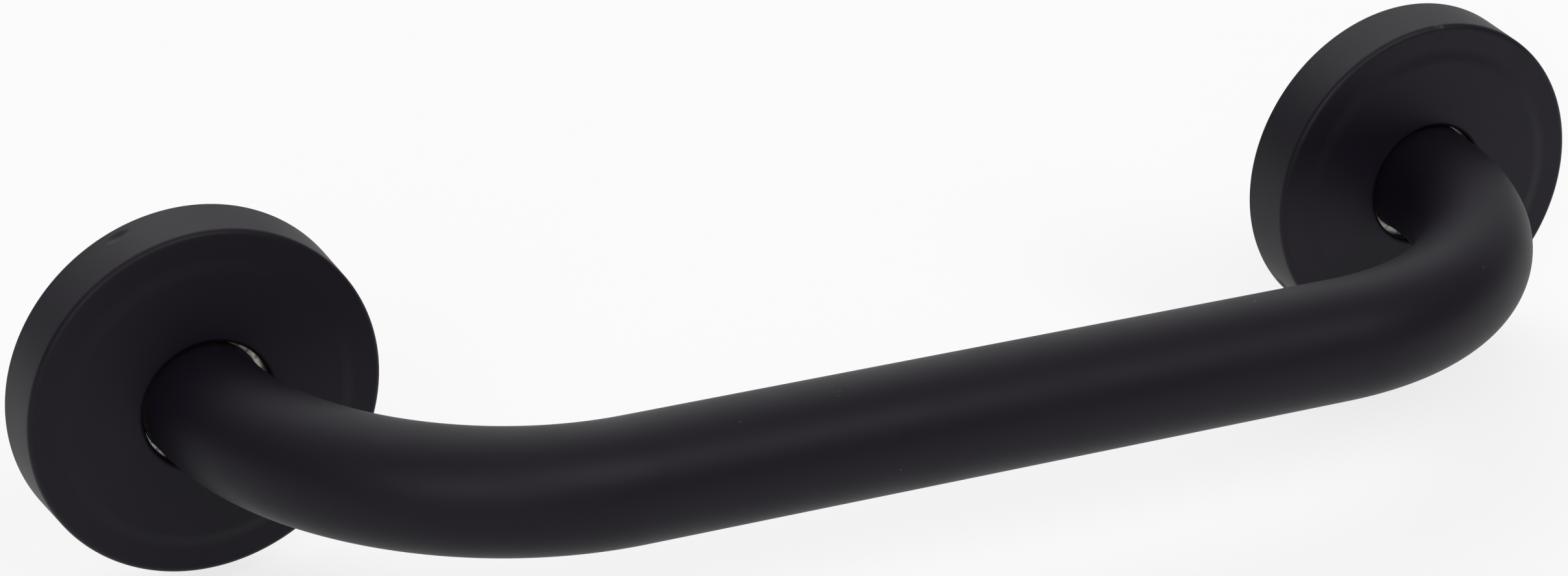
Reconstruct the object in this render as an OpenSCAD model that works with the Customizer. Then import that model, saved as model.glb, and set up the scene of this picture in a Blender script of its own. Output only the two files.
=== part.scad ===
// Bathtub grab bar: one bent tube welded into two pressed wall plates, each
// hidden by a pressed round cover that was threaded onto the tube beforehand.
// The wall is the plane Y = 0, the bar stands off it towards -Y, X runs along
// the bar and Z is up. The origin lies on the wall, midway between the legs.

/* [Bar] */
// Outer diameter of the tube
tube_d = 25.4; // [20:0.1:30]
// Wall thickness of the tube
tube_wall = 1.5; // [1:0.1:2.5]
// Distance between the centrelines of the two legs
leg_spacing = 287; // [250:1:600]
// Distance from the wall to the centreline of the grip
projection = 76.2; // [74:0.1:95]
// Radius of the two bends, on the tube's centreline
bend_radius = 63.5; // [52:0.5:66]

/* [Wall plates] */
// Thickness of a wall plate's sheet
plate_t = 3; // [2:0.1:4]
// Radius on the plate's front edge, left by the punch
plate_edge_r = 0.6; // [0.2:0.1:1]
// Gap between the tube's end and the wall
tube_end_recess = 0.6; // [0:0.1:1.2]
// Play between the tube and its hole in the plate
socket_play = 0.1; // [0.05:0.01:0.3]
// Gap between the plate's raised boss and the end of the cover's lip
boss_gap = 1.2; // [0.8:0.1:2]
// Inner radius of the bends at the boss's top and foot
boss_bend_r = 0.8; // [0.4:0.1:1.2]
// Slope of the boss's wall away from the leg's axis, in degrees
boss_slope = 20; // [10:1:30]
// Leg length of the fillet weld between the tube and the back of the boss
weld_leg = 2.2; // [1.5:0.1:3]
// Number of screw holes in a plate
screw_count = 3; // [2:1:4]
// Diameter of a screw hole
screw_hole_d = 5.6; // [4:0.1:6]
// Diameter of the countersink at the plate's front face
countersink_d = 10.4; // [8:0.1:11]
// Flat left between the boss's foot and a countersink
screw_land = 0.8; // [0.4:0.1:1.2]

/* [Covers] */
// Outer diameter of a cover
cover_d = 74.5; // [72:0.1:84]
// Distance from the wall to the flat rim of the cover's face
cover_depth = 12.7; // [11:0.1:16]
// Thickness of the pressed sheet
cover_sheet = 0.8; // [0.6:0.1:1]
// Outer radius between the cover's skirt and its face
cover_edge_r = 1.3; // [1.1:0.1:2.5]
// Gap between the cover's back edge and the wall
cover_wall_gap = 0.3; // [0.1:0.1:1]
// Diameter at the foot of the step round the raised disc
step_foot_d = 63.4; // [60:0.1:66]
// Width of the step, measured along the radius
step_width = 3.8; // [2:0.1:5]
// Height of the step
step_rise = 0.6; // [0.2:0.1:1.2]
// Height of the raised disc's crown, taken at the cover's axis
crown_rise = 0.5; // [0:0.1:1.5]
// Play between the tube and the lip turned in round it
throat_play = 0.9; // [0.5:0.05:1.5]
// Outer radius where the face turns in to the lip
lip_r = 1; // [0.9:0.1:1.5]
// Depth of the lip below the face beside it
lip_depth = 1.9; // [1.6:0.1:3]

/* [Snap dimples] */
// Number of dimples pressed into a cover's skirt
dimple_count = 2; // [2:1:4]
// Direction of the left cover's first dimple, from +X towards +Z
left_dimple_angle = 112; // [0:1:180]
// Direction of the right cover's first dimple, from +X towards +Z
right_dimple_angle = 40; // [0:1:180]
// Distance from the plate's front face out to the middle of a dimple
dimple_lead = 0.2; // [0:0.1:1]
// Depth of a dimple below the skirt's outer face
dimple_depth = 0.6; // [0.3:0.05:0.8]
// Radius of the round-nosed punch that presses the dimple
dimple_punch_r = 3.5; // [2:0.1:4]
// Gap between a dimple and the plate's edge
snap_gap = 0.25; // [0.1:0.05:0.5]

/* [Hidden] */
$fn = 96;
LEFT = -1;
RIGHT = 1;
cut = 1;

tube_r = tube_d / 2;
bore_d = tube_d - 2 * tube_wall;
bend_start = projection - bend_radius;
grip_length = leg_spacing - 2 * bend_radius;

cover_r = cover_d / 2;
skirt_inner_r = cover_r - cover_sheet;
step_foot_r = step_foot_d / 2;
step_top_r = step_foot_r - step_width;
throat_r = tube_r + throat_play;
lip_top_r = throat_r + lip_r;
step_sides = 10;
crown_sides = 5;
arc_sides = 6;

plate_r = skirt_inner_r - dimple_depth - snap_gap;
dimple_height = plate_t + dimple_lead;
socket_r = tube_r + socket_play;
weld_bulge = 0.15 * weld_leg;

// Points along a circular arc, from angle a0 to angle a1
function arc(x, y, r, a0, a1, n = arc_sides) = [
    for (i = [0:n])
        let (a = a0 + (a1 - a0) * i / n)
            [x + r * cos(a), y + r * sin(a)]
];

// Height of the cover's face above its flat rim, at radius r
function step_height(r) = step_rise * (1 - cos(180 * (step_foot_r - r) / step_width)) / 2;
function crown_height(r) = step_rise + crown_rise * (1 - pow(r / step_top_r, 2));

// The cover's face from its flat rim in towards radius r_in, as one side of the sheet
function face_line(z, r_in) = concat(
    [for (i = [0:step_sides])
        let (r = step_foot_r - step_width * i / step_sides)
            [r, z + step_height(r)]],
    [for (i = [1:crown_sides - 1])
        let (r = step_top_r + (r_in - step_top_r) * i / crown_sides)
            [r, z + crown_height(r)]]
);

lip_top = cover_depth + crown_height(lip_top_r);
lip_end = lip_top - lip_depth;

// The boss is bent twice from the plate's sheet: over its top, then out at its foot
boss_height = lip_end - boss_gap;
boss_back = boss_height - plate_t;
boss_top_r = socket_r + weld_leg;
bend_out_r = boss_bend_r + plate_t;
bend_sum = bend_out_r + boss_bend_r;
boss_wall = (boss_back - boss_bend_r - bend_out_r + bend_sum * sin(boss_slope)) / cos(boss_slope);
boss_foot_r = boss_top_r + bend_sum * cos(boss_slope) + boss_wall * sin(boss_slope);
screw_circle_r = boss_foot_r + screw_land + countersink_d / 2;

// Section of the cover: radius from the leg's axis, then distance from the wall
function cover_outside() = concat(
    [[cover_r, cover_wall_gap]],
    arc(cover_r - cover_edge_r, cover_depth - cover_edge_r, cover_edge_r, 0, 90),
    face_line(cover_depth, lip_top_r),
    arc(lip_top_r, lip_top - lip_r, lip_r, 90, 180),
    [[throat_r, lip_end]]
);
function cover_inside() = concat(
    [[skirt_inner_r, cover_wall_gap]],
    arc(cover_r - cover_edge_r, cover_depth - cover_edge_r, cover_edge_r - cover_sheet, 0, 90),
    face_line(cover_depth - cover_sheet, lip_top_r),
    arc(lip_top_r, lip_top - lip_r, lip_r - cover_sheet, 90, 180),
    [[throat_r + cover_sheet, lip_end]]
);
function reversed(list) = [for (i = [len(list) - 1:-1:0]) list[i]];

// Puts a piece drawn on the wall, pointing up, onto one leg
module at_leg(side) {
    translate([side * leg_spacing / 2, 0, 0])
        rotate([90, 0, 0])
            children();
}

// One leg with its bend, as a solid rod of diameter d starting at height foot
module leg_rod(side, d, foot) {
    at_leg(side)
        translate([0, 0, foot])
            cylinder(d = d, h = bend_start - foot);
    translate([side * grip_length / 2, -bend_start, 0])
        mirror([side == LEFT ? 1 : 0, 0, 0])
            rotate([0, 0, -90])
                rotate_extrude(angle = 90)
                    translate([bend_radius, 0])
                        circle(d = d);
}

// The whole run of the tube as a solid rod of diameter d
module tube_rod(d, foot) {
    leg_rod(LEFT, d, foot);
    leg_rod(RIGHT, d, foot);
    translate([-grip_length / 2, -projection, 0])
        rotate([0, 90, 0])
            cylinder(d = d, h = grip_length);
}

module grab_tube() {
    color([0.13, 0.13, 0.15])
        difference() {
            tube_rod(tube_d, tube_end_recess);
            tube_rod(bore_d, tube_end_recess - cut);
        }
}

// Section of the plate: its front from the rim in to the tube, its back out again
function plate_front() = concat(
    arc(plate_r - plate_edge_r, plate_t - plate_edge_r, plate_edge_r, 0, 90),
    arc(boss_foot_r, plate_t + boss_bend_r, boss_bend_r, 270, 180 + boss_slope),
    arc(boss_top_r, boss_back - boss_bend_r, bend_out_r, boss_slope, 90),
    [[socket_r, boss_height]]
);
function plate_back() = concat(
    [[socket_r, boss_back]],
    arc(boss_top_r, boss_back - boss_bend_r, boss_bend_r, 90, boss_slope),
    arc(boss_foot_r, bend_out_r, bend_out_r, 180 + boss_slope, 270),
    [[plate_r, 0]]
);

// Pressed steel plate; the first screw hole points away from the other leg
module plate() {
    difference() {
        rotate_extrude()
            polygon(concat(plate_front(), plate_back()));
        for (i = [0:screw_count - 1])
            rotate([0, 0, i * 360 / screw_count])
                translate([screw_circle_r, 0, 0])
                    screw_hole();
    }
}

// Countersunk hole, open through the plate
module screw_hole() {
    sink = (countersink_d - screw_hole_d) / 2;
    translate([0, 0, -cut])
        cylinder(d = screw_hole_d, h = plate_t + 2 * cut);
    translate([0, 0, plate_t - sink])
        cylinder(d1 = screw_hole_d, d2 = countersink_d + 2 * cut, h = sink + cut);
}

// Fillet of weld metal round the tube behind the boss, slightly bulged
module weld() {
    rotate_extrude()
        polygon([for (p = concat(
            [[0, 0], [weld_leg, 0]],
            [for (i = [1:arc_sides - 1])
                let (t = i / arc_sides, b = weld_bulge * sin(180 * t))
                    [weld_leg * (1 - t) + b, weld_leg * t + b]],
            [[0, weld_leg]]
        )) [tube_r + p[0], boss_back - p[1]]]);
}

// Ball of radius r where the punch's nose ends up, at one direction of the skirt
module dimple_ball(r, angle) {
    rotate([0, 0, angle])
        translate([cover_r - dimple_depth + dimple_punch_r, 0, dimple_height])
            sphere(r = r);
}

// Pressed sheet cover with its snap dimples, the first of them at start_angle
module cover(start_angle) {
    difference() {
        union() {
            rotate_extrude()
                polygon(concat(cover_outside(), reversed(cover_inside())));
            intersection() {
                translate([0, 0, cover_wall_gap])
                    cylinder(r = skirt_inner_r + cover_sheet / 2, h = cover_depth);
                for (i = [0:dimple_count - 1])
                    dimple_ball(dimple_punch_r + cover_sheet, start_angle + i * 360 / dimple_count);
            }
        }
        for (i = [0:dimple_count - 1])
            dimple_ball(dimple_punch_r, start_angle + i * 360 / dimple_count);
    }
}

module left_plate() {
    color([0.72, 0.71, 0.69])
        at_leg(LEFT)
            rotate([0, 0, 180])
                plate();
}

module right_plate() {
    color([0.72, 0.71, 0.69])
        at_leg(RIGHT)
            plate();
}

module left_weld() {
    color([0.6, 0.58, 0.55])
        at_leg(LEFT)
            weld();
}

module right_weld() {
    color([0.6, 0.58, 0.55])
        at_leg(RIGHT)
            weld();
}

module left_cover() {
    color([0.16, 0.16, 0.17])
        at_leg(LEFT)
            cover(left_dimple_angle);
}

module right_cover() {
    color([0.16, 0.16, 0.17])
        at_leg(RIGHT)
            cover(right_dimple_angle);
}

grab_tube();
left_plate();
right_plate();
left_weld();
right_weld();
left_cover();
right_cover();
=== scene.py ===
# Bathtub grab bar in matte black: a bent steel tube between two wall plates,
# with a loose pressed cover round each end. The wall is the plane Y = 0, the bar
# stands off it towards -Y, and Z is up. Sizes below are in millimetres.
import math
import bmesh
import bpy
import numpy as np
from mathutils import Euler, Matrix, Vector


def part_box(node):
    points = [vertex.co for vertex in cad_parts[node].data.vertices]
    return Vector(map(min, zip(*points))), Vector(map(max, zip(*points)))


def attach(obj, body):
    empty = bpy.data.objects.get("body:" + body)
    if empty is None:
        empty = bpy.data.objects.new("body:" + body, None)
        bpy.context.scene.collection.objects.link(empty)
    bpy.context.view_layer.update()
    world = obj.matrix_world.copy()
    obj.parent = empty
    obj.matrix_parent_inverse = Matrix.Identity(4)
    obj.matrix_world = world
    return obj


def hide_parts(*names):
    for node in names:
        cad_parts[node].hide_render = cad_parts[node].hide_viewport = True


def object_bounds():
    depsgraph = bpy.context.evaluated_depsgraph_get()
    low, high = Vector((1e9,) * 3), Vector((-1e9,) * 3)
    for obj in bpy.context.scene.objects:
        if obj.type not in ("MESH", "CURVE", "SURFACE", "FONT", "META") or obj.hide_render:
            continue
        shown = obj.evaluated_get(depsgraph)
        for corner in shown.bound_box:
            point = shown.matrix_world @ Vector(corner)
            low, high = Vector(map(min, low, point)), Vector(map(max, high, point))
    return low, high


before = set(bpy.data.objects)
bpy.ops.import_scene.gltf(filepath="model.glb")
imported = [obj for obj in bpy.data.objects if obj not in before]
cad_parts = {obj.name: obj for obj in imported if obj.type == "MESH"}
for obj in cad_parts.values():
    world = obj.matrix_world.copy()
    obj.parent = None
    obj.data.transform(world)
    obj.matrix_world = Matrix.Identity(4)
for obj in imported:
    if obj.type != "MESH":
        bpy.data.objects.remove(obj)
cad_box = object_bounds()
MM = 0.001


# Camera: about a metre away, to the left of the bar and above it, looking down
# at it along a long lens, rolled by a hair as a hand-held camera is.
camera_place = (-463.4555, -868.2270, 444.5300)
camera_turn = (65.3826, -1.7323, -26.8423)
camera_data = bpy.data.cameras.new("camera")
camera_data.sensor_width = 36.0
camera_data.lens = 117.28
camera = bpy.data.objects.new("camera", camera_data)
camera.location = Vector(camera_place) * MM
camera.rotation_euler = Euler([math.radians(angle) for angle in camera_turn])
bpy.context.scene.collection.objects.link(camera)
bpy.context.scene.camera = camera


# Grab tube: one length of welded stainless tube, bent twice through a right
# angle on a mandrel bender. It is coated in matte black powder after the covers
# are threaded on, so the powder thins out where a cover shades the tube's foot.
tube_radius = 12.7
tube_wall = 1.5
tube_foot = 0.6
tube_end_edge = 0.25
bend_radius = 63.5
bend_flattening = 0.008
grip_depth = 76.2
leg_rows, bend_rows, grip_rows, tube_columns = 16, 57, 49, 160
coat_foot = 6.5
coat_fade = 3.0
coat_dark = (0.0052, 0.0035, 0.0080, 1.0)
coat_light = (0.0066, 0.0045, 0.0098, 1.0)
bare_steel = (0.62, 0.60, 0.57, 1.0)
dust_color = (0.080, 0.077, 0.072, 1.0)
# Specks of dust: place, radius and strength.
dust_on_tube = (((-60.4, -82.1, 11.3), 0.22, 0.7), ((-28.2, -88.7, -2.4), 0.28, 0.6),
                ((59.4, -76.1, 12.7), 0.32, 1.0), ((116.3, -74.7, 9.5), 0.28, 0.7),
                ((-37.4, -79.5, 12.3), 0.24, 0.6), ((-38.4, -80.5, 11.9), 0.20, 0.6))

left_low, left_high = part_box("left_plate")
right_low, right_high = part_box("right_plate")
left_leg = (left_low.x + left_high.x) / 2 / MM
right_leg = (right_low.x + right_high.x) / 2 / MM
leg_spacing = right_leg - left_leg
leg_run = grip_depth - bend_radius - tube_foot
bend_run = bend_radius * math.pi / 2
grip_run = leg_spacing - 2 * bend_radius
tube_run = 2 * leg_run + 2 * bend_run + grip_run


def closed_skin(name, points, flip=False):
    """Mesh over points[row, column]: a four-sided face joins each point to its
    neighbours, and the last row and column join the first, so nothing is open."""
    rows, columns = points.shape[:2]
    row, column = np.meshgrid(np.arange(rows), np.arange(columns), indexing="ij")
    next_row, next_column = (row + 1) % rows, (column + 1) % columns
    corners = [row * columns + column, next_row * columns + column,
               next_row * columns + next_column, row * columns + next_column]
    faces = np.stack(corners[::-1] if flip else corners, axis=-1).reshape(-1, 4)
    mesh = bpy.data.meshes.new(name)
    mesh.from_pydata(points.reshape(-1, 3) * MM, [], faces)
    mesh.shade_smooth()
    piece = bpy.data.objects.new(name, mesh)
    bpy.context.scene.collection.objects.link(piece)
    return piece


def paint_amount(piece, amount):
    """Stores how much coating each point carries, from 0 for bare steel to 1."""
    layer = piece.data.attributes.new("coating", "FLOAT", "POINT")
    layer.data.foreach_set("value", amount.astype(np.float32).ravel())


def smooth_step(x, low, high):
    """Rises from 0 at low to 1 at high along the curve 3t^2 - 2t^3."""
    t = np.clip((x - low) / (high - low), 0, 1)
    return t * t * (3 - 2 * t)


def tube_line(s):
    """Centreline of the bar at the distances s from the left foot: straight leg,
    quarter circle, straight grip, quarter circle, straight leg. Gives the points,
    the direction that points to the outside of the bends, and sin^2 of the way
    through each bend, which is 1 in its middle and 0 outside it."""
    turn_in = np.clip((s - leg_run) / bend_run, 0, 1)
    turn_out = np.clip((s - leg_run - bend_run - grip_run) / bend_run, 0, 1)
    heading = (turn_in + turn_out) * math.pi / 2
    x = (left_leg + bend_radius * (1 - np.cos(turn_in * math.pi / 2))
         + np.clip(s - leg_run - bend_run, 0, grip_run)
         + bend_radius * np.sin(turn_out * math.pi / 2))
    y = (-tube_foot - np.clip(s, 0, leg_run) - bend_radius * np.sin(turn_in * math.pi / 2)
         + bend_radius * (1 - np.cos(turn_out * math.pi / 2))
         + np.clip(s - tube_run + leg_run, 0, leg_run))
    centre = np.stack([x, y, np.zeros_like(x)], axis=-1)
    outward = np.stack([-np.cos(heading), -np.sin(heading), np.zeros_like(x)], axis=-1)
    bending = np.sin(turn_in * math.pi) ** 2 + np.sin(turn_out * math.pi) ** 2
    return centre, outward, bending


def tube_surface():
    """Tube as one closed skin. Rows run along the outside, round the cut end,
    back along the bore and round the other end; columns run round the tube.
    Point = centre + r * (cos a * outward + sin a * up), and in the bends the
    outward part is a little short, because bending draws the tube oval."""
    edge = tube_end_edge
    end_turn = np.linspace(0, math.pi / 2, 4)
    grip_start = leg_run + bend_run
    grip_end = grip_start + grip_run
    run = np.concatenate([
        edge - edge * np.cos(end_turn),
        np.linspace(edge, leg_run, leg_rows)[1:],
        np.linspace(leg_run, grip_start, bend_rows)[1:],
        np.linspace(grip_start, grip_end, grip_rows)[1:],
        np.linspace(grip_end, tube_run - leg_run, bend_rows)[1:],
        np.linspace(tube_run - leg_run, tube_run - edge, leg_rows)[1:],
        tube_run - edge + edge * np.sin(end_turn[1:]),
    ])
    past_edge = np.clip(np.maximum(edge - run, run - tube_run + edge) / edge, 0, 1)
    inset = edge - edge * np.sqrt(1 - past_edge ** 2)
    rows = np.concatenate([run, run[::-1]])
    radius = np.concatenate([tube_radius - inset, (tube_radius - tube_wall + inset)[::-1]])
    turn = np.linspace(0, 2 * math.pi, tube_columns, endpoint=False)
    centre, outward, bending = tube_line(rows)
    reach = radius * (1 - bend_flattening * bending)
    points = (centre[:, None, :]
              + (reach[:, None] * np.cos(turn))[..., None] * outward[:, None, :]
              + (radius[:, None] * np.sin(turn))[..., None] * np.array([0.0, 0.0, 1.0]))
    return points, len(run)


def add_node(tree, kind, inputs=None, **settings):
    """Adds a shader node, sets its settings, and fills its inputs: a socket is
    linked, and anything else is written on the input itself."""
    made = tree.nodes.new(kind)
    for name, value in settings.items():
        setattr(made, name, value)
    for name, value in (inputs or {}).items():
        if isinstance(value, bpy.types.NodeSocket):
            tree.links.new(value, made.inputs[name])
        else:
            made.inputs[name].default_value = value
    return made


def coated_steel(name, grain, shine, specks):
    """Matte black powder coat over stainless steel. The powder melts into a fine
    orange peel with a finer grain on it; the coating attribute says where it
    covers, and noise breaks up its edge as drifting powder does. Each speck is a
    soft pale dot."""
    material = bpy.data.materials.new(name)
    material.use_nodes = True
    tree = material.node_tree
    shader = tree.nodes["Principled BSDF"]
    place = add_node(tree, "ShaderNodeTexCoord").outputs["Object"]
    peel = add_node(tree, "ShaderNodeTexNoise", {"Vector": place, "Scale": 900.0,
                                                 "Detail": 2.0})
    fine = add_node(tree, "ShaderNodeTexNoise", {"Vector": place, "Scale": grain,
                                                 "Detail": 3.0})
    cloud = add_node(tree, "ShaderNodeTexNoise", {"Vector": place, "Scale": 45.0,
                                                  "Detail": 4.0})
    carried = add_node(tree, "ShaderNodeAttribute", attribute_name="coating").outputs["Fac"]
    drift = add_node(tree, "ShaderNodeMath", {0: fine.outputs["Fac"], 1: 0.5},
                     operation="SUBTRACT")
    ragged = add_node(tree, "ShaderNodeMath", {0: drift.outputs[0], 1: 0.9, 2: carried},
                      operation="MULTIPLY_ADD")
    cover = add_node(tree, "ShaderNodeMapRange", {"Value": ragged.outputs[0], "From Min": 0.35,
                                                  "From Max": 0.65})
    bare = add_node(tree, "ShaderNodeMath", {0: 1.0, 1: cover.outputs["Result"]},
                    operation="SUBTRACT").outputs[0]
    tone = add_node(tree, "ShaderNodeMix", {"Factor": cloud.outputs["Fac"], "A": coat_dark,
                    "B": coat_light}, data_type="RGBA").outputs["Result"]
    for spot, size, strength in specks:
        away = add_node(tree, "ShaderNodeVectorMath", {0: place, 1: Vector(spot) * MM},
                        operation="DISTANCE")
        dusty = add_node(tree, "ShaderNodeMapRange", {"Value": away.outputs["Value"],
                         "From Min": 0.3 * size * MM, "From Max": size * MM,
                         "To Min": strength, "To Max": 0.0})
        tone = add_node(tree, "ShaderNodeMix", {"Factor": dusty.outputs["Result"], "A": tone,
                        "B": dust_color}, data_type="RGBA").outputs["Result"]
    steel = add_node(tree, "ShaderNodeMix", {"Factor": bare, "A": tone, "B": bare_steel},
                     data_type="RGBA").outputs["Result"]
    sheen_range = add_node(tree, "ShaderNodeMapRange", {"Value": cloud.outputs["Fac"],
                           "From Min": 0.3, "From Max": 0.7, "To Min": 0.47, "To Max": 0.53})
    rough = add_node(tree, "ShaderNodeMix", {"Factor": bare,
                     "A": sheen_range.outputs["Result"], "B": 0.3})
    peel_bump = add_node(tree, "ShaderNodeBump", {"Height": peel.outputs["Fac"],
                         "Strength": 0.35, "Distance": 0.00002})
    bump = add_node(tree, "ShaderNodeBump", {"Height": fine.outputs["Fac"], "Strength": 0.3,
                    "Distance": 0.00001, "Normal": peel_bump.outputs["Normal"]})
    tree.links.new(steel, shader.inputs["Base Color"])
    tree.links.new(bare, shader.inputs["Metallic"])
    tree.links.new(rough.outputs["Result"], shader.inputs["Roughness"])
    tree.links.new(bump.outputs["Normal"], shader.inputs["Normal"])
    shader.inputs["Specular IOR Level"].default_value = shine
    return material


points, outside_rows = tube_surface()
grab_tube = closed_skin("matte_black_tube", points)
foot_height = -points[..., 1]
outside = np.arange(len(points))[:, None] < outside_rows
paint_amount(grab_tube, outside * smooth_step(foot_height, coat_foot - coat_fade,
                                              coat_foot + coat_fade))
grab_tube.data.materials.append(coated_steel("tube coating", 5200.0, 0.19, dust_on_tube))
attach(grab_tube, "bar")
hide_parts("grab_tube")


# Wall plates: pressed from cold-rolled steel sheet, with a boss drawn up round the
# tube's hole and three countersunk holes for the wall screws. They stay bright,
# because the covers hide them, and the weld behind the boss has tinted them.
plate_sheet = 3.0
plate_radius = 35.6
plate_edge = 0.6
plate_back_edge = 0.15
socket_radius = 12.8
socket_edge = 0.06
boss_height = -left_low.y / MM
boss_bend = 0.8
boss_slope = 20.0
weld_leg = 2.2
screw_radius = 2.8
countersink_radius = 5.2
screw_land = 0.8
hole_patch_half = 35.0
plate_columns = 144
flat_rows, hole_rings = 11, 7
merge_reach = 0.002
crease_angle = 32.0
plate_steel = (0.60, 0.59, 0.57, 1.0)
fleck_color = (0.15, 0.13, 0.11, 1.0)
# Distances from the leg's axis between which the heat rings lie, and their waver.
heat_start, heat_end, heat_waver = 14.0, 24.0, 1.6
# Heights over the wall between which the plate turns into the top of its boss.
top_start, top_full = 8.5, 10.0

boss_back = boss_height - plate_sheet
boss_top_radius = socket_radius + weld_leg
bend_out = boss_bend + plate_sheet
lean = math.radians(boss_slope)
boss_wall = (boss_back - boss_bend - bend_out
             + (bend_out + boss_bend) * math.sin(lean)) / math.cos(lean)
boss_foot_radius = (boss_top_radius + (bend_out + boss_bend) * math.cos(lean)
                    + boss_wall * math.sin(lean))
screw_circle_radius = boss_foot_radius + screw_land + countersink_radius


def bow_line(radius, height, size, start, end, steps):
    """Points on an arc of a section, angles in degrees from outward to front."""
    a = np.radians(np.linspace(start, end, steps))
    return np.stack([radius + size * np.cos(a), height + size * np.sin(a)], axis=-1)


def hole_patch():
    """Sector of the plate's flat round one screw hole, as rings. A ring's point is
    rim + t * (border - rim): rim is the hole's circle and border the sector's
    outline, each taken in the same directions. Rings run from the outline in
    over the back face, up through the hole, and out over the front face."""
    half = math.radians(hole_patch_half)
    flat_radius = plate_radius - plate_edge
    outer = np.linspace(-half, half, round(plate_columns * hole_patch_half / 180) + 1)
    spoke = np.linspace(flat_radius, boss_foot_radius, flat_rows)
    border = np.concatenate([
        np.stack([flat_radius * np.cos(outer), flat_radius * np.sin(outer)], axis=-1)[:-1],
        np.stack([spoke * math.cos(half), spoke * math.sin(half)], axis=-1)[:-1],
        np.stack([boss_foot_radius * np.cos(outer),
                  boss_foot_radius * np.sin(outer)], axis=-1)[:0:-1],
        np.stack([spoke * math.cos(half), -spoke * math.sin(half)], axis=-1)[:0:-1],
    ])
    middle = np.array([screw_circle_radius, 0.0])
    away = border - middle
    direction = away / np.linalg.norm(away, axis=-1, keepdims=True)
    sink = countersink_radius - screw_radius
    share = np.linspace(1, 0, hole_rings)
    hole = [(screw_radius, 0.0), (screw_radius, plate_sheet - sink),
            (countersink_radius, plate_sheet)]
    rings = [np.concatenate([middle + screw_radius * direction
                             + t * (away - screw_radius * direction), 0 * away[:, :1]], axis=-1)
             for t in share[:-1]]
    rings += [np.concatenate([middle + r * direction, 0 * away[:, :1] + h], axis=-1)
              for r, h in hole]
    rings += [np.concatenate([middle + countersink_radius * direction
                              + t * (away - countersink_radius * direction),
                              0 * away[:, :1] + plate_sheet], axis=-1)
              for t in share[-2::-1]]
    return np.stack(rings)


def plain_patch(height):
    """Sector of the plate's flat between two hole patches, at one height."""
    start, end = math.radians(hole_patch_half), math.radians(120 - hole_patch_half)
    turn = np.linspace(start, end, round(plate_columns * (60 - hole_patch_half) / 180) + 1)
    spoke = np.linspace(plate_radius - plate_edge, boss_foot_radius, flat_rows)[:, None]
    return np.stack([spoke * np.cos(turn), spoke * np.sin(turn), 0 * spoke * turn + height],
                    axis=-1)


def boss_section():
    """Section of the boss: up its front, over into the tube's hole, and down its
    back. Front and back share the centres of their bends, so the sheet keeps its
    thickness all the way."""
    return np.concatenate([
        bow_line(boss_foot_radius, bend_out, boss_bend, 270, 180 + boss_slope, 7),
        bow_line(boss_top_radius, boss_back - boss_bend, bend_out, boss_slope, 90, 15),
        bow_line(socket_radius + socket_edge, boss_height - socket_edge, socket_edge,
                 90, 180, 5),
        [[socket_radius, boss_back]],
        bow_line(boss_top_radius, boss_back - boss_bend, boss_bend, 90, boss_slope, 7),
        bow_line(boss_foot_radius, bend_out, bend_out, 180 + boss_slope, 270, 15),
    ])


def spun_strip(profile, columns):
    """Surface of revolution: profile's radius and height carried round the axis."""
    turn = np.linspace(0, 2 * math.pi, columns, endpoint=False)
    radius, height = profile[:, :1], profile[:, 1:]
    return np.stack([radius * np.cos(turn), radius * np.sin(turn),
                     height + 0 * turn], axis=-1)


def on_leg(points, leg_x, turn=0.0):
    """Carries points drawn on the wall, height away from it, onto a leg."""
    x, y, height = points[..., 0], points[..., 1], points[..., 2]
    c, s = math.cos(turn), math.sin(turn)
    return np.stack([leg_x + c * x - s * y, -height, s * x + c * y], axis=-1)


def grid_faces(rows, columns, first, wrap):
    """Faces of an open grid of points numbered from first, closed along its rows
    where wrap is set."""
    row, column = np.meshgrid(np.arange(rows - 1), np.arange(columns if wrap else columns - 1),
                              indexing="ij")
    beside = (column + 1) % columns
    return first + np.stack([row * columns + column, row * columns + beside,
                             (row + 1) * columns + beside, (row + 1) * columns + column],
                            axis=-1).reshape(-1, 4)


def wall_plate(name, leg_x, turn):
    """Plate from three hole patches and three plain ones on each face, with its
    rolled rim and its boss as surfaces of revolution, all merged into one skin."""
    rim = np.concatenate([
        [[plate_radius - plate_edge, 0.0], [plate_radius - plate_back_edge, 0.0],
         [plate_radius, plate_back_edge]],
        bow_line(plate_radius - plate_edge, plate_sheet - plate_edge, plate_edge, 0, 90, 7)])
    blocks = [(spun_strip(rim, plate_columns), True),
              (spun_strip(boss_section(), plate_columns), True)]
    for k in range(3):
        c, s = math.cos(2 * math.pi * k / 3), math.sin(2 * math.pi * k / 3)
        for patch, wrap in ((hole_patch(), True), (plain_patch(0.0), False),
                            (plain_patch(plate_sheet), False)):
            blocks.append((np.stack([c * patch[..., 0] - s * patch[..., 1],
                                     s * patch[..., 0] + c * patch[..., 1], patch[..., 2]],
                                    axis=-1), wrap))
    first, faces = 0, []
    for block, wrap in blocks:
        faces.append(grid_faces(block.shape[0], block.shape[1], first, wrap))
        first += block.shape[0] * block.shape[1]
    points = np.concatenate([block.reshape(-1, 3) for block, wrap in blocks])
    mesh = bpy.data.meshes.new(name)
    mesh.from_pydata(on_leg(points, leg_x, turn) * MM, [], np.concatenate(faces))
    shape = bmesh.new()
    shape.from_mesh(mesh)
    bmesh.ops.remove_doubles(shape, verts=shape.verts, dist=merge_reach * MM)
    bmesh.ops.recalc_face_normals(shape, faces=shape.faces)
    shape.to_mesh(mesh)
    shape.free()
    mesh.shade_smooth()
    mesh.set_sharp_from_angle(angle=math.radians(crease_angle))
    piece = bpy.data.objects.new(name, mesh)
    bpy.context.scene.collection.objects.link(piece)
    return piece


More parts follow.
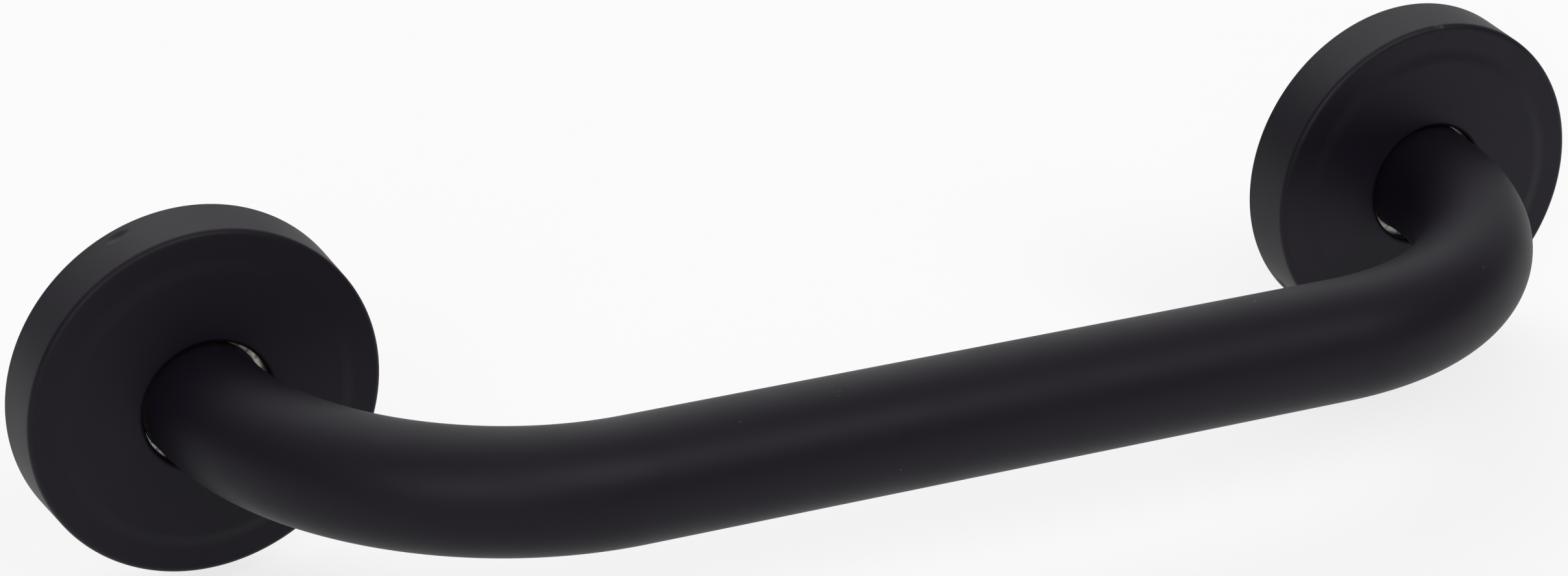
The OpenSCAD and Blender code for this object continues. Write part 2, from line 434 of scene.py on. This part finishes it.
def bright_steel(name, leg_x, grain_scale, roughness, clean, front, heated):
    """Bare steel with the streaks that rolling leaves. The top of a boss, which is
    open to the air round the tube, has its own tone, front, and carries rust-brown
    flecks; front is painted light and shade, lighter or darker than the plate to
    give how brightly that spot is lit. The weld's heat has tinted the steel in rings
    round the tube, straw, brown, then blue-grey, and most on the side that lies
    towards heated, an angle in degrees from outward to up."""
    material = bpy.data.materials.new(name)
    material.use_nodes = True
    tree = material.node_tree
    shader = tree.nodes["Principled BSDF"]
    place = add_node(tree, "ShaderNodeTexCoord").outputs["Object"]
    streak_place = add_node(tree, "ShaderNodeMapping", {"Vector": place, "Scale": grain_scale})
    streak = add_node(tree, "ShaderNodeTexNoise", {"Vector": streak_place.outputs["Vector"],
                      "Scale": 1.0, "Detail": 4.0})
    mottle = add_node(tree, "ShaderNodeTexNoise", {"Vector": place, "Scale": 1000.0,
                                                   "Detail": 3.0})
    centred = add_node(tree, "ShaderNodeMapping", {"Vector": place,
                       "Location": (-leg_x * MM, 0.0, 0.0), "Scale": (1.0, 0.0, 1.0)})
    spread = add_node(tree, "ShaderNodeVectorMath", {0: centred.outputs["Vector"]},
                      operation="LENGTH").outputs["Value"]
    uneven = add_node(tree, "ShaderNodeMath", {0: mottle.outputs["Fac"], 1: heat_waver * MM,
                      2: spread}, operation="MULTIPLY_ADD")
    heat = add_node(tree, "ShaderNodeMapRange", {"Value": uneven.outputs[0],
                    "From Min": heat_start * MM, "From Max": heat_end * MM})
    tint = add_node(tree, "ShaderNodeValToRGB", {"Fac": heat.outputs["Result"]})
    stops = tint.color_ramp.elements
    stops[0].color, stops[1].color = (0.92, 0.86, 0.77, 1), (1, 1, 1, 1)
    for position, color in ((0.22, (0.90, 0.76, 0.60, 1)), (0.40, (0.78, 0.68, 0.62, 1)),
                            (0.55, (0.74, 0.78, 0.86, 1)), (0.75, (0.98, 0.93, 0.84, 1))):
        stops.new(position).color = color
    lie = math.radians(heated)
    along = add_node(tree, "ShaderNodeVectorMath", {0: centred.outputs["Vector"],
                     1: (math.cos(lie), 0.0, math.sin(lie))}, operation="DOT_PRODUCT")
    hot_side = add_node(tree, "ShaderNodeMapRange", {"Value": along.outputs["Value"],
                        "From Min": -0.010, "From Max": 0.006})
    depth = add_node(tree, "ShaderNodeSeparateXYZ", {"Vector": place}).outputs["Y"]
    on_top = add_node(tree, "ShaderNodeMapRange", {"Value": depth, "From Min": -top_start * MM,
                      "From Max": -top_full * MM}).outputs["Result"]
    # Painted light and shade: the boss top's tone, front, is set lighter or darker to give how
    # brightly the top is lit through the gap round the tube.
    boss_top_lit_tone = add_node(tree, "ShaderNodeMix", {"Factor": on_top, "A": clean, "B": front},
                    data_type="RGBA").outputs["Result"]
    flecked = add_node(tree, "ShaderNodeMath", {0: on_top, 1: 0.65, 2: 0.15},
                       operation="MULTIPLY_ADD").outputs[0]
    heated_tone = add_node(tree, "ShaderNodeMix", {"Factor": hot_side.outputs["Result"],
                           "A": boss_top_lit_tone, "B": tint.outputs["Color"]}, data_type="RGBA",
                           blend_type="MULTIPLY")
    dull = add_node(tree, "ShaderNodeMapRange", {"Value": mottle.outputs["Fac"],
                    "From Min": 0.54, "From Max": 0.62, "To Min": 0.0, "To Max": flecked})
    tone = add_node(tree, "ShaderNodeMix", {"Factor": dull.outputs["Result"],
                    "A": heated_tone.outputs["Result"], "B": fleck_color},
                    data_type="RGBA")
    rough = add_node(tree, "ShaderNodeMapRange", {"Value": streak.outputs["Fac"],
                     "From Min": 0.3, "From Max": 0.7, "To Min": roughness - 0.06,
                     "To Max": roughness + 0.06})
    bump = add_node(tree, "ShaderNodeBump", {"Height": streak.outputs["Fac"], "Strength": 0.25,
                    "Distance": 0.00002})
    tree.links.new(tone.outputs["Result"], shader.inputs["Base Color"])
    tree.links.new(rough.outputs["Result"], shader.inputs["Roughness"])
    tree.links.new(bump.outputs["Normal"], shader.inputs["Normal"])
    shader.inputs["Metallic"].default_value = 1.0
    return material


# Boss-top tones, front: painted light on the left plate, lighter than clean steel, and painted
# shade on the right plate.
for side, leg_x, turn, front, heated in (
        ("left", left_leg, math.pi, (0.77, 0.77, 0.76, 1.0), 45.0),
        ("right", right_leg, 0.0, (0.36, 0.35, 0.33, 1.0), 60.0)):
    plate = wall_plate(side + "_bright_plate", leg_x, turn)
    plate.data.materials.append(
        bright_steel(side + " plate steel", leg_x, (900.0, 900.0, 6000.0), 0.35,
                     plate_steel, front, heated))
    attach(plate, "bar")
    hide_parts(side + "_plate")


# Welds: a fillet run by hand with filler wire behind each boss, where the tube
# comes through it. Each dip of the wire has frozen as a small curved ripple.
weld_bulge = 0.15
weld_sink = 0.08
ripple_count = 62
ripple_depth = 0.09
ripple_bow = 2.2
ripple_columns = 9
lap_height = 0.22
lap_turn = 0.16
weld_metal = (0.48, 0.46, 0.44, 1.0)


def weld_bead(name, leg_x, start):
    """Closed skin of revolution. The face of the fillet is the straight line from
    the boss to the tube, pushed out by bulge * sin(pi t) and by a ripple that
    goes round it, cos(n a - bow), whose bow makes each crest a crescent. The bead
    is a little proud where it closes on its own start, an angle in radians."""
    turn = np.linspace(0, 2 * math.pi, ripple_count * ripple_columns, endpoint=False)
    across = np.linspace(0, 1, 15)[:, None]
    push = np.sin(math.pi * across)
    bow = ripple_bow * (2 * across - 1) ** 2
    ripple = ripple_depth * push * np.cos(ripple_count * turn - bow)
    from_start = np.angle(np.exp(1j * (turn - start)))
    lap = lap_height * push * np.exp(-(from_start / lap_turn) ** 2)
    lift = weld_leg * weld_bulge * push + ripple + lap
    radius = tube_radius + weld_leg * (1 - across) + lift * math.sqrt(0.5)
    height = boss_back - weld_leg * across - lift * math.sqrt(0.5)
    inner = np.ones_like(turn)
    radius = np.concatenate([[(tube_radius + weld_leg) * inner], radius,
                             [(tube_radius - weld_sink) * inner] * 2])
    height = np.concatenate([[(boss_back + weld_sink) * inner], height,
                             [(boss_back - weld_leg) * inner],
                             [(boss_back + weld_sink) * inner]])
    points = np.stack([radius * np.cos(turn), radius * np.sin(turn), height], axis=-1)
    return closed_skin(name, on_leg(points, leg_x))


for side, leg_x, start in (("left", left_leg, 2.4), ("right", right_leg, 4.1)):
    weld = weld_bead(side + "_weld_bead", leg_x, start)
    weld.data.materials.append(
        bright_steel(side + " weld metal", leg_x, (2500.0, 2500.0, 2500.0), 0.34,
                     weld_metal, weld_metal, math.degrees(start)))
    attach(weld, "bar")
    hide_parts(side + "_weld")


# Covers: round shells drawn from thin steel sheet, loose on the tube. A skirt,
# a rolled edge, a flat rim, a shallow step up to a crowned disc, and a lip
# turned in round the tube. Dimples punched into the skirt snap over the plate.
foot_radius = 37.45
shoulder_radius = 37.05
cover_depth = 13.3
sheet = 0.8
sheet_edge = 0.2
edge_roll = 1.3
wall_gap = 0.3
step_foot = 31.7
step_width = 3.8
step_rise = 0.6
crown_rise = 0.5
throat = 13.6
lip_roll = 1.0
lip_depth = 1.9
dimple_height = 3.2
dimple_depth = 0.35
dimple_half_width = 3.1
dimple_half_height = 1.5
dimple_rows_top = 6.8
nick_half_width = 0.45
nick_half_height = 0.7
nick_drop = 0.2
scuff_on_nick = (((143.3, -12.6, 36.7), 1.1, 0.22), ((144.3, -12.8, 36.6), 0.8, 0.25))
# Skirt, rolled edge and painted face each lie outside one of these radii.
skirt_from, edge_from, face_from = shoulder_radius - 1.0, 35.0, 20.0
# Depths under the cover's front between which the coating fades into the throat.
lip_bare, lip_painted = 1.3, 0.1
cover_columns = 400
crowding, crowded_turn = 3, 7


def face_height(r):
    """Height of the face over its flat rim: half a cosine wave up the step, then
    a parabola that crowns the disc."""
    up = np.clip((step_foot - r) / step_width, 0, 1)
    top = step_foot - step_width
    crown = crown_rise * np.clip(1 - (r / top) ** 2, 0, 1)
    return step_rise * (1 - np.cos(math.pi * up)) / 2 + crown


def skirt_radius(height):
    """The skirt narrows evenly from its foot to its shoulder, the draft that lets
    it off the punch."""
    return foot_radius + (shoulder_radius - foot_radius) * height / (cover_depth - edge_roll)


def cover_section():
    """Section of the sheet as a closed line of radius and height: up the skirt,
    over the roll, in along the face, round the lip, and back inside."""
    lip_top_radius = throat + lip_roll
    lip_top = cover_depth + face_height(np.array(lip_top_radius))
    step_top = step_foot - step_width
    face = np.concatenate([np.linspace(shoulder_radius - edge_roll, step_foot, 12)[1:],
                           np.linspace(step_foot, step_top, 22)[1:],
                           np.linspace(step_top, lip_top_radius, 26)[1:-1]])
    skirt = np.concatenate([np.linspace(wall_gap + sheet_edge, dimple_rows_top, 26),
                            np.linspace(dimple_rows_top, cover_depth - edge_roll, 12)[1:-1]])
    outside = np.concatenate([
        np.stack([skirt_radius(skirt), skirt], axis=-1),
        bow_line(shoulder_radius - edge_roll, cover_depth - edge_roll, edge_roll, 0, 90, 15),
        np.stack([face, cover_depth + face_height(face)], axis=-1),
        bow_line(lip_top_radius, lip_top - lip_roll, lip_roll, 90, 180, 11),
        [[throat, lip_top - lip_depth + sheet_edge]],
        bow_line(throat + sheet_edge, lip_top - lip_depth + sheet_edge, sheet_edge,
                 180, 270, 4)[1:],
    ])
    inside = np.concatenate([
        np.stack([skirt_radius(skirt) - sheet, skirt], axis=-1),
        bow_line(shoulder_radius - edge_roll, cover_depth - edge_roll, edge_roll - sheet,
                 0, 90, 9),
        np.stack([face, cover_depth - sheet + face_height(face)], axis=-1),
        bow_line(lip_top_radius, lip_top - lip_roll, lip_roll - sheet, 90, 180, 6),
        [[throat + sheet, lip_top - lip_depth + sheet_edge]],
    ])
    back = np.concatenate([
        [[foot_radius - sheet + sheet_edge, wall_gap]],
        bow_line(foot_radius - sheet_edge, wall_gap + sheet_edge, sheet_edge, -90, 0, 4)[:-1],
    ])
    return np.concatenate([outside, inside[::-1], back]), len(outside)


def off_mark(turn, mark):
    """Angle from a mark, in degrees from -180 to 180."""
    return (turn - mark + 180) % 360 - 180


def cover_shell(name, leg_x, rest, first_dimple, nick):
    """The section spun round the leg. Columns crowd towards the dimples and the
    nick: their spacing is the inverse of 1 + crowding * a bell at each mark. A
    dimple presses both sides of the skirt in by depth * (1 - q)^2, q being the
    squared distance from its middle in half-widths. The nick dents the rolled edge
    by a bell. The loose cover rests off the leg's axis by the two lengths in rest."""
    section, outside_rows = cover_section()
    dimples = (first_dimple, first_dimple + 180.0)
    marks = dimples + tuple(mark for mark, depth in nick)
    fine = np.linspace(0, 360, 7201)
    density = 1 + crowding * sum(np.exp(-(off_mark(fine, mark) / crowded_turn) ** 2)
                                 for mark in marks)
    travel = np.concatenate([[0], np.cumsum((density[1:] + density[:-1]) / 2)])
    turn = np.interp(np.linspace(0, travel[-1], cover_columns, endpoint=False), travel, fine)
    radius, height = section[:, :1] + 0 * turn, section[:, 1:] + 0 * turn
    outside = (np.arange(len(section)) < outside_rows)[:, None]
    for mark in dimples:
        arc = np.radians(off_mark(turn, mark)) * foot_radius
        q = ((arc / dimple_half_width) ** 2
             + ((height - dimple_height) / dimple_half_height) ** 2)
        radius = radius - dimple_depth * np.clip(1 - q, 0, 1) ** 2 * (radius > skirt_from)
    for mark, depth in nick:
        arc = np.radians(off_mark(turn, mark)) * foot_radius
        below = height - cover_depth + nick_drop
        dent = depth * np.exp(-(arc / nick_half_width) ** 2 - (below / nick_half_height) ** 2)
        on_edge = outside * (radius > edge_from)
        radius, height = radius - dent * on_edge, height - dent * on_edge
    a = np.radians(turn)
    points = np.stack([radius * np.cos(a), radius * np.sin(a), height], axis=-1)
    placed = on_leg(points, leg_x) + np.array([rest[0], 0.0, rest[1]])
    piece = closed_skin(name, placed, flip=True)
    in_throat = smooth_step(height + 0.5 * (radius - throat), cover_depth - lip_bare,
                            cover_depth - lip_painted)
    paint_amount(piece, outside * np.maximum(in_throat, radius > face_from))
    return piece


for side, leg_x, rest, first_dimple, nick, shine, marks in (
        ("left", left_leg, (0.14, 0.34), 112.0, (), 0.19, ()),
        ("right", right_leg, (-0.27, -0.29), 40.0, ((89.3, 0.07),), 0.215, scuff_on_nick)):
    cover = cover_shell(side + "_pressed_cover", leg_x, rest, first_dimple, nick)
    cover.data.materials.append(coated_steel(side + " cover coating", 4200.0, shine, marks))
    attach(cover, side + "_cover")
    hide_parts(side + "_cover")


# Light and floor: a plain pale floor under the bar, in a room that is bright behind
# and above the bar and has two soft boxes hung in front, one to the left and one to
# the right. To the camera it is nearly white, and the floor keeps the bar's shadow.
floor_drop = 4.0
floor_reach = 3000.0
floor_whiteness = 0.75
floor_mirrored = 1.0
room_mirrored = 0.1
floor_level = cad_box[0].z / MM - floor_drop
floor_corners = np.array([[-floor_reach, -floor_reach, floor_level],
                          [floor_reach, -floor_reach, floor_level],
                          [floor_reach, floor_reach, floor_level],
                          [-floor_reach, floor_reach, floor_level]])
floor_mesh = bpy.data.meshes.new("floor")
floor_mesh.from_pydata(floor_corners * MM, [], [(0, 1, 2, 3)])
floor = bpy.data.objects.new("floor", floor_mesh)
bpy.context.scene.collection.objects.link(floor)


def whitened(tree, mirrored):
    """Share of plain white that a ray finds: all of it where the camera looks, also
    through glass, and the share mirrored in reflections."""
    ray = add_node(tree, "ShaderNodeLightPath")
    looked_at = add_node(tree, "ShaderNodeMath", {0: ray.outputs["Is Camera Ray"],
                         1: ray.outputs["Is Transmission Ray"]}, operation="MAXIMUM")
    return add_node(tree, "ShaderNodeMath", {0: ray.outputs["Is Glossy Ray"], 1: mirrored,
                    2: looked_at.outputs[0]}, operation="MULTIPLY_ADD").outputs[0]


pale = bpy.data.materials.new("floor")
pale.use_nodes = True
tree = pale.node_tree
tree.nodes.remove(tree.nodes["Principled BSDF"])
paper = add_node(tree, "ShaderNodeBsdfDiffuse", {"Color": (0.82, 0.82, 0.82, 1.0)})
white = add_node(tree, "ShaderNodeEmission", {"Color": (1, 1, 1, 1), "Strength": 1.0})
share = add_node(tree, "ShaderNodeMath", {0: whitened(tree, floor_mirrored),
                 1: floor_whiteness}, operation="MULTIPLY")
mixed = add_node(tree, "ShaderNodeMixShader", {0: share.outputs[0], 1: paper.outputs[0],
                                               2: white.outputs[0]})
tree.links.new(mixed.outputs[0], tree.nodes["Material Output"].inputs["Surface"])
floor_mesh.materials.append(pale)

world = bpy.data.worlds.new("room")
bpy.context.scene.world = world
world.use_nodes = True
tree = world.node_tree
toward = add_node(tree, "ShaderNodeTexCoord").outputs["Generated"]
room_light = 0.0
for bearing, climb, tightness, level in (
        (90.0, 33.0, 6.0, 1.02), (90.0, 60.0, 6.0, 1.50), (45.0, 8.0, 6.0, 0.55),
        (235.0, 30.0, 40.0, 7.80), (290.0, 46.0, 40.0, 8.00)):
    # One patch of light: level * e^(tightness * (cosine of the angle off its middle - 1)),
    # its middle given by its bearing from +X and its climb above the floor, in degrees.
    turn, rise = math.radians(bearing), math.radians(climb)
    middle = (math.cos(rise) * math.cos(turn), math.cos(rise) * math.sin(turn), math.sin(rise))
    cosine = add_node(tree, "ShaderNodeVectorMath", {0: toward, 1: middle},
                      operation="DOT_PRODUCT")
    power = add_node(tree, "ShaderNodeMath", {0: cosine.outputs["Value"], 1: tightness,
                     2: -tightness}, operation="MULTIPLY_ADD")
    glow = add_node(tree, "ShaderNodeMath", {0: power.outputs[0]}, operation="EXPONENT")
    room_light = add_node(tree, "ShaderNodeMath", {0: glow.outputs[0], 1: level,
                          2: room_light}, operation="MULTIPLY_ADD").outputs[0]
seen = add_node(tree, "ShaderNodeMix", {"Factor": whitened(tree, room_mirrored),
                "A": room_light, "B": 1.0})
background = tree.nodes["Background"]
background.inputs["Color"].default_value = (1, 1, 1, 1)
tree.links.new(seen.outputs["Result"], background.inputs["Strength"])
bpy.context.scene.view_settings.view_transform = "Standard"
